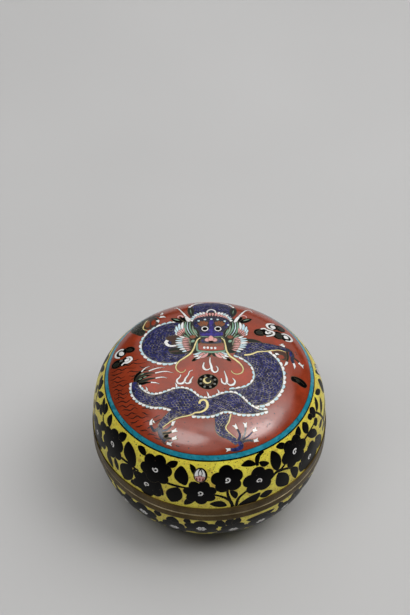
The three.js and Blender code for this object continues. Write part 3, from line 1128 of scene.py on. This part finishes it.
def clouds(d):
    """Black and white cloud scrolls at both sides."""
    ovals(d, "black", 1.0, [
        (22.2, 18.9, 2.7, 2.4, 10), (25.4, 19.6, 3.6, 2.4, -10), (30.6, 19, 2.9, 2.8, 0),
        (31.8, 25, 2.6, 2.6, 0), (28, 24.8, 3, 2.7, 30), (34.4, 19, 3.3, 3, 0), (-35.2, 10.7, 2.7, 1.9, -25),
        (-39.6, 10.2, 3.2, 3, 0), (-41, 4, 3, 2.5, -20), (-36.6, 4, 3.4, 2.4, 20),
    ])
    ovals(d, "dark", 0.8, [
        (22, 18.8, 1.5, 1.2, 10), (30.9, 18.8, 1.5, 1.7, 0), (32.4, 25, 1.3, 1.6, 0),
        (-35, 10.6, 1.3, 0.8, -25), (-41.4, 3.8, 1.6, 1.2, -20),
    ])
    for scroll in (
        [(22.6, 21.3), (24.4, 22.1), (26.2, 21.1), (28.4, 20.6), (28.4, 18.8), (26.6, 17.4), (25, 16.8)],
        [(25.2, 20.3), (25.2, 19), (26.6, 18.8)],
        [(29.5, 27.6), (27.2, 26.9), (25.7, 25.2), (26.4, 23.1), (28.6, 22.4)],
        [(32.3, 20.6), (34.2, 21.7), (36.4, 20.9), (37.3, 18.9), (36.2, 17), (33.8, 16.4)],
        [(-38, 11.9), (-39.8, 12.9), (-41.8, 12), (-42.3, 10.2), (-41.4, 8.4), (-39.6, 7.4)],
        [(-38.6, 2.2), (-37.3, 3.2), (-35.6, 2.9), (-33.9, 4.1), (-34.6, 5.8), (-36.4, 6.1)],
    ):
        d.stroke(scroll, (0.8, 1.35, 0.7), "white")
    ovals(d, "white", 1.0, [
        (28.5, 24.6, 1.35, 1.5, 0), (34.3, 19.2, 1.25, 1.4, 0), (26.7, 19.6, 0.8, 0.6, 0),
        (-39.1, 9.9, 1.2, 1.9, 35), (-36, 4.5, 1.3, 1.0, 20),
    ])
    d.cell(oval((-38.9, 5.1), 0.9, 0.7), "grey")
    d.blob([(35.4, -5.2), (38, -4.6), (41, -5.2), (43.2, -6.9), (42.4, -8.8), (40, -8.9), (38, -8),
        (35.6, -7.4)], "black")
    d.wire(smooth([(36.6, -5.6), (38.8, -5.8), (40.4, -6.8), (41.8, -7.4)]))
    d.cell(oval((38.4, -6.6), 0.9, 0.5, -20, 0.3), "dark", 0.8)


def lid_picture():
    d = Drawing("red")
    for figure in (
        waves, worn_pits, upper_left_leg, hind_legs, left_loop, top_hump, right_coil, foreleg, lower_body,
        tail_tuft, behind_the_face, temples, mane, cheek_fans, face, muzzle, pearl, flames, clouds,
    ):
        figure(d)
    d.ring(TURQUOISE[1], PANEL_REACH, "black")
    d.ring(TURQUOISE[0] - 0.25, TURQUOISE[0], "dark")
    d.ring(*TURQUOISE, "turquoise")
    return d


# ---------------------------------------------------------------- the flower borders

FINE = 0.5  # share of the usual width, for the wires around black cells
AROUND_RADIUS = 50.0  # borders are drawn with their width measured at this radius
BASE_BORDER = 32.5  # width of the flowered part of the base


class Border(Drawing):
    """A drawing round a ring: across is millimetres from at, and down is arc length from the edge."""

    def __init__(self, ground, edge, direction, inner, outer):
        super().__init__(ground)
        self.edge = edge
        self.direction = direction
        self.limits = (inner + 0.3, outer - 0.3)
        self.at = 0.0  # millimetres from the front

    def fill(self, loops, enamel):
        bent = []
        for across, down in (np.asarray(loop).T for loop in loops):
            reach = (self.edge + self.direction * down).clip(*self.limits)
            bent.append(polar(reach, (across + self.at) / AROUND_RADIUS - math.pi / 2))
        super().fill(bent, enamel)


def spiral(d, x, y, turn, spin):
    """The white spiral in the middle of a flower."""
    count = 22
    path = polar(np.linspace(0.35, 1.35, count), np.linspace(0.4, 1.15 * math.tau, count) + turn)
    d.fill(ribbon((x, y) + path * (1, spin), np.linspace(0.2, 0.34, count)), "white")


def rosette(d, x, y):
    """Six white dots around a seventh, in the middle of a flower."""
    for k in range(6):
        d.fill([oval((x, y) + polar(1.5, math.tau * k / 6), 0.75, step=0.7)], "white")
    d.fill([oval((x, y), 0.6, step=0.6)], "white")


def flower(d, x, y, radius, turn=0.0, petals=5, spin=1):
    """A black flower of round petals. Its middle is a spiral, or a rosette where spin is 0."""
    wide = {5: 0.47, 6: 0.42, 7: 0.38}[petals]  # half a petal's width, as a share of the radius
    outlines = []
    for k in range(petals):
        a = math.radians(turn) + math.tau * k / petals
        centre = (x + 0.58 * radius * math.sin(a), y - 0.58 * radius * math.cos(a))
        outlines.append(oval(centre, radius * 0.46, radius * wide, math.degrees(a) + 90))
        d.wire(outlines[-1], True, FINE * 1.5)
    for outline in outlines:
        d.fill([outline], "black")
    d.fill([oval((x, y), radius * 0.6)], "black")
    if spin:
        spiral(d, x, y, turn, spin)
    else:
        rosette(d, x, y)


def bud(d, x, y):
    """A white bud with a pink foot, in a dark outline."""
    d.cell(oval((x + 0.1, y), 2.95, 3.5), "black")
    d.cell(oval((x - 0.1, y), 2.35, 3.0), "white")
    d.blob([(x - 2.3, y + 0.8), (x - 1.2, y + 0.5), (x - 0.1, y), (x + 1, y + 0.5), (x + 2.1, y + 0.8),
        (x + 1.4, y + 2.6), (x - 0.1, y + 3.1), (x - 1.6, y + 2.6)], "pink")
    for side in (-1, 0, 1):
        d.cell(leaf((x - 0.1 + side * 1.1, y + 2.8), (x - 0.1 + side * 1.5, y + 1.1), 0.7), "red", FINE)
    for side in (-1, 1):
        d.stroke([(x + side * 0.1, y - 2.9), (x + side * 0.8, y - 1.2), (x + side * 0.5, y + 0.6)],
            (0.6, 0.4, 0.25), "black", wired=False)


def leaves(d, places):
    """Black leaves, each given by its base, tip, width and bend."""
    for x0, y0, x1, y1, width, bend in places:
        d.cell(leaf((x0, y0), (x1, y1), width, bend), "black", FINE)


def stem(d, points, width=1.35):
    d.stroke(points, (width, width, width * 0.7), "black", wired=False)


def front_spray(d):
    """The branch at the front: a fork of stems, three flowers and a bud."""
    stem(d, [(9.4, 25.7), (8.8, 22), (6, 18.6), (2, 16.6), (-2, 16.2)])
    stem(d, [(9.8, 25.7), (8.4, 21), (7.4, 16), (7.6, 12)])
    stem(d, [(11, 25.7), (12, 20.6), (15.4, 17.2), (19, 15)])
    leaves(d, [
        (10.9, 20.5, 8.4, 14.6, 2.8, 0.1), (7.2, 24.4, 0, 22.4, 4.2, 0.1),
        (11.8, 25.6, 21.6, 20.8, 5.6, 0.1), (21.2, 23.4, 27.4, 23.2, 4.4, 0),
        (20.8, 4.6, 13.9, 3.1, 3.0, 0.12), (22.2, 4.0, 26.8, 6.4, 2.7, 0.1),
        (-5.6, 17.4, -10.4, 24.4, 3.4, 0), (-6.4, 6.4, -8.8, 1.4, 2.4, 0.1),
        (-10.1, 12.2, -12.6, 2.8, 6.2, -0.08), (-13, 14.0, -16, 24.4, 7.0, 0.02),
    ])
    d.stroke([(21.2, 5.4), (21.6, 2.8), (23, 1.0), (25.8, 0.3)], (1.2, 2.5, 0.8), "black", wired=False)
    stem(d, [(-20.4, 12.8), (-14.6, 13.4), (-9, 13.4)])
    flower(d, -3.9, 15.8, 6.8, 20, 7)
    flower(d, 7.5, 8.8, 6.8, -5, 5)
    flower(d, 21, 13.2, 7.0, 0, 5)
    bud(d, -4, 6.2)


def side_spray(d):
    """Two large flowers, one above the other, with leaves around them."""
    leaves(d, [
        (-33.8, 12.6, -40.2, 3.0, 7.0, -0.04), (-35.4, 13.2, -39.4, 25, 7.8, 0.06),
        (-29.4, 4, -34.8, 1.9, 3.2, 0.06), (-19.4, 4.4, -14.2, 1.5, 3.2, 0.06),
        (-34, 13.4, -31.8, 19, 2.6, 0), (-30.4, 20.6, -35.6, 23.8, 3.8, 0),
        (-21.4, 15, -19.6, 22, 3.4, 0.1),
    ])
    stem(d, [(-42.4, 13.2), (-37, 12.9), (-31.5, 13.4)], 1.5)
    flower(d, -27, 18.8, 7.2, 60, 6, -1)
    flower(d, -23.6, 8.3, 7.3, 15, 6)


def branch_spray(d):
    """A leafy branch with one flower high and one low."""
    leaves(d, [
        (30.2, 12.4, 29.4, 1.6, 5.4, 0.03), (30.2, 13.8, 35.4, 25.2, 6.6, 0.04),
        (36.8, 15.4, 40.2, 25.4, 4.0, -0.1), (37.4, 4.2, 32, 1.1, 3.0, 0.1), (43, 3.8, 48, 0.4, 3.6, 0.1),
        (42.4, 17, 45.8, 25, 4.2, 0), (51, 7, 51.2, 0.8, 4.6, 0), (50, 7.0, 57.6, 14, 4.2, -0.06),
        (55.4, 14, 63, 25.4, 6.4, 0.05),
    ])
    stem(d, [(26, 15), (29, 13), (32, 12.6), (34.6, 11)], 1.6)
    stem(d, [(30, 12.9), (34, 13.9), (37.4, 16), (38.4, 19)], 1.3)
    stem(d, [(45, 8.2), (51, 7.4), (58, 7)], 1.2)
    flower(d, 50, 20.2, 7.6, 10, 6, -1)
    flower(d, 40.6, 8.9, 7.4, 30, 6)


def twig_spray(d):
    """A twig of small round leaves."""
    stem(d, [(70.4, 25.2), (68, 18), (65.4, 11), (62.4, 5.6), (60, 3.4)], 1.4)
    leaves(d, [
        (60.2, 5.8, 60, 0.3, 5.2, 0), (59, 3.8, 55.2, 1.8, 3.0, 0), (61, 7.8, 56.8, 7.6, 4.0, 0),
        (62.6, 5.2, 68, 1.1, 3.0, 0.1), (65, 9.4, 71.4, 5.2, 3.2, 0.1), (65.4, 13, 60.4, 13, 3.4, 0),
        (67, 15.4, 73, 13.4, 3.6, 0), (68.4, 19, 63.6, 18.4, 3.6, 0), (69.4, 21.6, 75.6, 20.6, 3.8, 0),
        (69.6, 1, 75.4, 5, 2.8, 0),
    ])


def lone_flower(d):
    """A large flower with leaves above and below it."""
    leaves(d, [
        (-46.4, 6.4, -42.4, 1.0, 4.2, 0), (-53.4, 5.6, -56.4, 0.6, 3.8, -0.1),
        (-45.4, 16.4, -43.4, 23, 3.0, 0), (-50.4, 17, -47, 25.2, 4.2, 0.1), (-53.4, 15, -55.4, 21, 3.0, 0),
        (-55, 7, -60, 13, 4.2, 0.1), (-60.4, 5, -63.6, 0.6, 3.8, 0.1), (-62, 7, -66.6, 4.4, 3.6, 0),
    ])
    stem(d, [(-54, 11), (-58, 8), (-61, 5.4)], 1.3)
    flower(d, -48.6, 10.9, 7.5, 0, 6)


def high_flower(d):
    """A large flower high on the side."""
    flower(d, -62.4, 18.6, 7.4, 30, 6)


def lid_border():
    d = Border("yellow", TURQUOISE[1] + 0.6, 1, PANEL_REACH, LID_REACH)
    d.ring(PANEL_REACH, TURQUOISE[1] + 0.65, "black")
    for spray, at in (
        (front_spray, 0), (side_spray, 0), (branch_spray, 0), (twig_spray, 0), (lone_flower, 0),
        (high_flower, 0), (twig_spray, -137), (front_spray, 92), (side_spray, -70), (branch_spray, 86),
        (lone_flower, -68), (side_spray, 192),
    ):
        d.at = at
        spray(d)
    return d


def base_border():
    d = Border("yellow", BASE_REACH, -1, BASE_CUT, BASE_REACH)
    # Low on the base the black ground, and the large black leaves above it, reach up past the flowers. This
    # is partly the base's black enamel and partly painted shade under its belly.
    d.ring(BASE_CUT, BASE_REACH - BASE_BORDER, "black")
    for at in np.arange(4) * math.tau * AROUND_RADIUS / 4:
        d.at = at
        leaves(d, [
            (-38, 0.4, -35.8, 5.6, 3.4, 0), (-22.4, 0.2, -22.6, 5.4, 3.6, 0), (-16.2, 9, -15.6, 1.2, 5.8, 0),
            (-9.2, 0.1, -8.6, 5.4, 3.2, 0.1), (6.6, 7.4, 3.8, 0.2, 4.4, -0.1), (9.4, 7.4, 8.4, 0.1, 4.8, 0),
            (10.6, 7, 12.4, 0.6, 4.0, 0), (15.8, 4.8, 29.4, 4.2, 5.6, 0.1), (31.4, 1.2, 33.6, 6.4, 2.8, 0),
            (38.4, 5, 42.6, 0.8, 3.4, 0), (-23.4, 12.6, -24.2, 20.4, 4.6, 0), (3.4, 14, 4.2, 21, 5.0, 0),
            (29.8, 13.6, 30.4, 21, 4.8, 0), (-9.6, 17, -8.8, 31, 8.0, 0), (17.2, 17.6, 17.8, 31, 8.0, 0),
            (-37.6, 15, -36, 31, 7.6, 0), (-15.2, 18.4, -16.8, 32, 6.6, 0), (11.4, 18.4, 10.4, 32, 6.6, 0),
            (37.4, 17.4, 38.2, 32, 6.6, 0),
        ])
        for x, y, radius, turn in ((-30.4, 8.6, 7.4, 0), (-15.8, 12.6, 7.0, 30), (-3.5, 9.2, 7.6, 0),
                (10.8, 12.6, 7.2, 20), (23.6, 11.8, 7.0, 0), (36.6, 10.8, 7.2, 30), (-24.2, 25, 7.6, 10),
                (2.2, 25.2, 7.6, 40), (29, 25.2, 7.6, 0)):
            flower(d, x, y, radius, turn, 6, 0)
    return d


# ---------------------------------------------------------------- pieces

def make_lid():
    end_inside = lid_inside.reach[-1]
    # The two pieces of the lid meet in an edge through the wall, from the panel's end inwards and down
    cut_height = np.interp(PANEL_REACH, lid_outside.reach, lid_outside.z) - WALL * 0.7
    cut_inside = float(np.interp(cut_height, lid_inside.z[::-1], lid_inside.reach[::-1]))

    build = Build()
    layout = disc_layout(PANEL_REACH, (0.492, 0.492), 0.486)
    _, edge = add_sheet(build, lid_outside, lid_picture(), 0, PANEL_REACH, LID_SPACING, layout)
    layout = disc_layout(cut_inside, (0.925, 0.925), 0.07)
    _, lining = add_lining(build, lid_inside, 0, cut_inside, 16, layout)
    add_edge(build, lining, edge, (0.02, 0.985))
    build.finish("lid_picture", "lid_enamel", "lid_body")

    build = Build()
    layout = strip_layout(PANEL_REACH, LID_REACH, (0, 0), (1, 0.94), 12, 3)
    border = lid_border()
    upper, lower = add_sheet(build, lid_outside, border, PANEL_REACH, LID_REACH, LID_SPACING, layout)
    layout = strip_layout(cut_inside, end_inside, (0, 0.945), (1, 0.985), 1, 1)
    lining_upper, lining_lower = add_lining(build, lid_inside, cut_inside, end_inside, 14, layout)
    add_edge(build, upper, lining_upper, (0.05, 0.989))
    add_edge(build, lining_lower, lower, (0.55, 0.989))
    build.finish("lid_border", "lid_enamel", "lid_body")


def make_base():
    end_inside = base_inside.reach[-1]
    build = Build()
    layout = strip_layout(BASE_CUT, BASE_REACH, (0, 0), (1, 0.9), 8, 2)
    foot, rim = add_sheet(build, base_outside, base_border(), BASE_CUT, BASE_REACH, BASE_SPACING, layout)
    layout = disc_layout(end_inside, (0.05, 0.95), 0.045)
    _, lining = add_lining(build, base_inside, 0, end_inside, 24, layout)
    layout = disc_layout(BASE_CUT, (0.15, 0.95), 0.045)
    _, under_edge = add_lining(build, base_underside, 0, BASE_CUT, 8, layout)
    add_edge(build, rim, lining, (0.25, 0.91))
    add_edge(build, under_edge, foot, (0.25, 0.95))
    build.finish("base_border", "base_enamel", "base_body")


def brass_ring(name, node, bevel, corners, rubbed_and_highlit=None):
    """A brass ring turned from a section of (radius, height) corners, with its corners rounded.

    The corner counted, from zero, by the last argument is bright: its rounding is pale brass, a painted
    highlight for the light that edge catches.
    """
    steps = 5  # points on a rounded corner
    corners = np.array(corners, float)
    section = []
    for before, here, after in zip(np.roll(corners, 1, axis=0), corners, np.roll(corners, -1, axis=0)):
        back = before - here
        on = after - here
        cut = min(bevel, 0.45 * np.hypot(*back), 0.45 * np.hypot(*on))
        start = here + back / np.hypot(*back) * cut
        end = here + on / np.hypot(*on) * cut
        for t in np.linspace(0, 1, steps):
            section.append((1 - t) ** 2 * start + 2 * t * (1 - t) * here + t**2 * end)
    section = np.array(section)
    n = len(section)
    turn = np.arange(RING)[:, None] * math.tau / RING
    places = np.dstack((polar(section[:, 0], turn), np.tile(section[:, 1], (RING, 1)))).reshape(-1, 3)
    here = np.arange(RING * n).reshape(RING, n)
    ahead = np.roll(here, -1, axis=0)
    faces = np.stack((here, ahead, np.roll(ahead, -1, axis=1), np.roll(here, -1, axis=1)), -1).reshape(-1, 4)
    mesh = bpy.data.meshes.new(name)
    mesh.from_pydata((places * MM).tolist(), [], faces.tolist())
    mesh.polygons.foreach_set("use_smooth", [True] * len(faces))
    mesh.materials.append(material("brass"))
    if rubbed_and_highlit is not None:
        mesh.materials.append(material("rubbed brass"))
        bright = [int(0 < k % n - steps * rubbed_and_highlit < steps - 1) for k in range(len(faces))]
        mesh.polygons.foreach_set("material_index", bright)
    mesh.set_sharp_from_angle(angle=math.radians(35))
    piece = add_object(name, mesh)
    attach(piece, "root")
    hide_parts(node)


def make_brass():
    gap = 0.15  # half the gap between the two rims
    bevel = 0.35
    lip_inside = LIP_RADIUS - LIP_THICKNESS
    foot_inside = FOOT_RADIUS - FOOT_THICKNESS
    # The rounded edges of both rims at the seam carry the painted highlight in pale brass.
    brass_ring("lid_brass_rim", "lid_rim", bevel, [
        (INNER_RADIUS, SEAM + gap), (RIM_RADIUS, SEAM + gap), (RIM_RADIUS, LID_EDGE),
        (INNER_RADIUS, LID_EDGE),
    ], 1)
    brass_ring("base_brass_rim", "base_rim", bevel, [
        (lip_inside, BASE_EDGE), (RIM_RADIUS, BASE_EDGE), (RIM_RADIUS, SEAM - gap), (LIP_RADIUS, SEAM - gap),
        (LIP_RADIUS, LIP_TOP), (lip_inside, LIP_TOP),
    ], 2)
    brass_ring("brass_foot", "foot_ring", 0.6, [
        (foot_inside, 0), (FOOT_RADIUS, 0), (FOOT_RADIUS, FOOT_TOP), (foot_inside, FOOT_TOP),
    ])


# ---------------------------------------------------------------- studio

def floor():
    size = 6
    mesh = bpy.data.meshes.new("floor")
    corners = [(-size, -size, 0), (size, -size, 0), (size, size, 0), (-size, size, 0)]
    mesh.from_pydata(corners, [], [(0, 1, 2, 3)])
    n = Nodes("pale_paper")
    n.set("Base Color", n.mix(n.ramp(n.noise(5), 0.3, 0.7), (0.55, 0.545, 0.54), (0.585, 0.58, 0.575)))
    n.set("Roughness", 0.9)
    mesh.materials.append(n.material)
    ground = add_object("floor", mesh)


def soft_light(name, height, middle, size, brightness):
    """An oval light facing straight down. middle and size are for each metre of its height."""
    lamp = bpy.data.lights.new(name, "AREA")
    lamp.shape = "ELLIPSE"
    lamp.size = size[0] * height
    lamp.size_y = size[1] * height
    area = math.pi / 4 * lamp.size * lamp.size_y
    lamp.energy = brightness * math.pi * area
    holder = add_object(name, lamp)
    holder.location = (middle[0] * height, middle[1] * height, height)
    return holder


def camera():
    """The photo's viewpoint, from the front and above."""
    lens = bpy.data.cameras.new("camera")
    lens.lens = 87.8
    lens.sensor_width = 36
    holder = add_object("camera", lens)
    holder.location = (-0.0019, -0.4254, 0.5606)
    holder.rotation_euler = (math.radians(90 - 46.54), 0, 0)
    bpy.context.scene.camera = holder


def studio():
    floor()
    world = bpy.data.worlds.new("studio")
    world.use_nodes = True
    background = world.node_tree.nodes["Background"]
    background.inputs["Color"].default_value = (0.90, 0.90, 0.92, 1)
    background.inputs["Strength"].default_value = 0.02
    bpy.context.scene.world = world
    bpy.context.scene.view_settings.view_transform = "Standard"
    soft_light("ceiling", 0.8, (0.28, 0.45), (1.76, 1.15), 0.80)
    soft_light("right_glow", 2.6, (0.72, 0.0), (1.55, 1.1), 0.62)
    soft_light("left_glow", 2.5, (-0.30, -0.36), (1.24, 1.1), 0.50)
    soft_light("front_glow", 2.7, (-0.35, -0.70), (1.1, 0.7), 0.14)
    soft_light("right_window", 2.4, (0.66, -0.05), (0.90, 0.76), 1.6)
    soft_light("left_core", 2.3, (-0.36, -0.29), (0.68, 0.50), 3.2)
    soft_light("right_core", 2.2, (0.61, -0.18), (0.56, 0.42), 3.9)
    wall = soft_light("back_wall", 0.9, (0.5, 1.8), (3.0, 1.6), 0.34)
    wall.rotation_euler = (math.radians(-62), 0, 0)
    camera()


studio()
make_lid()
make_base()
make_brass()
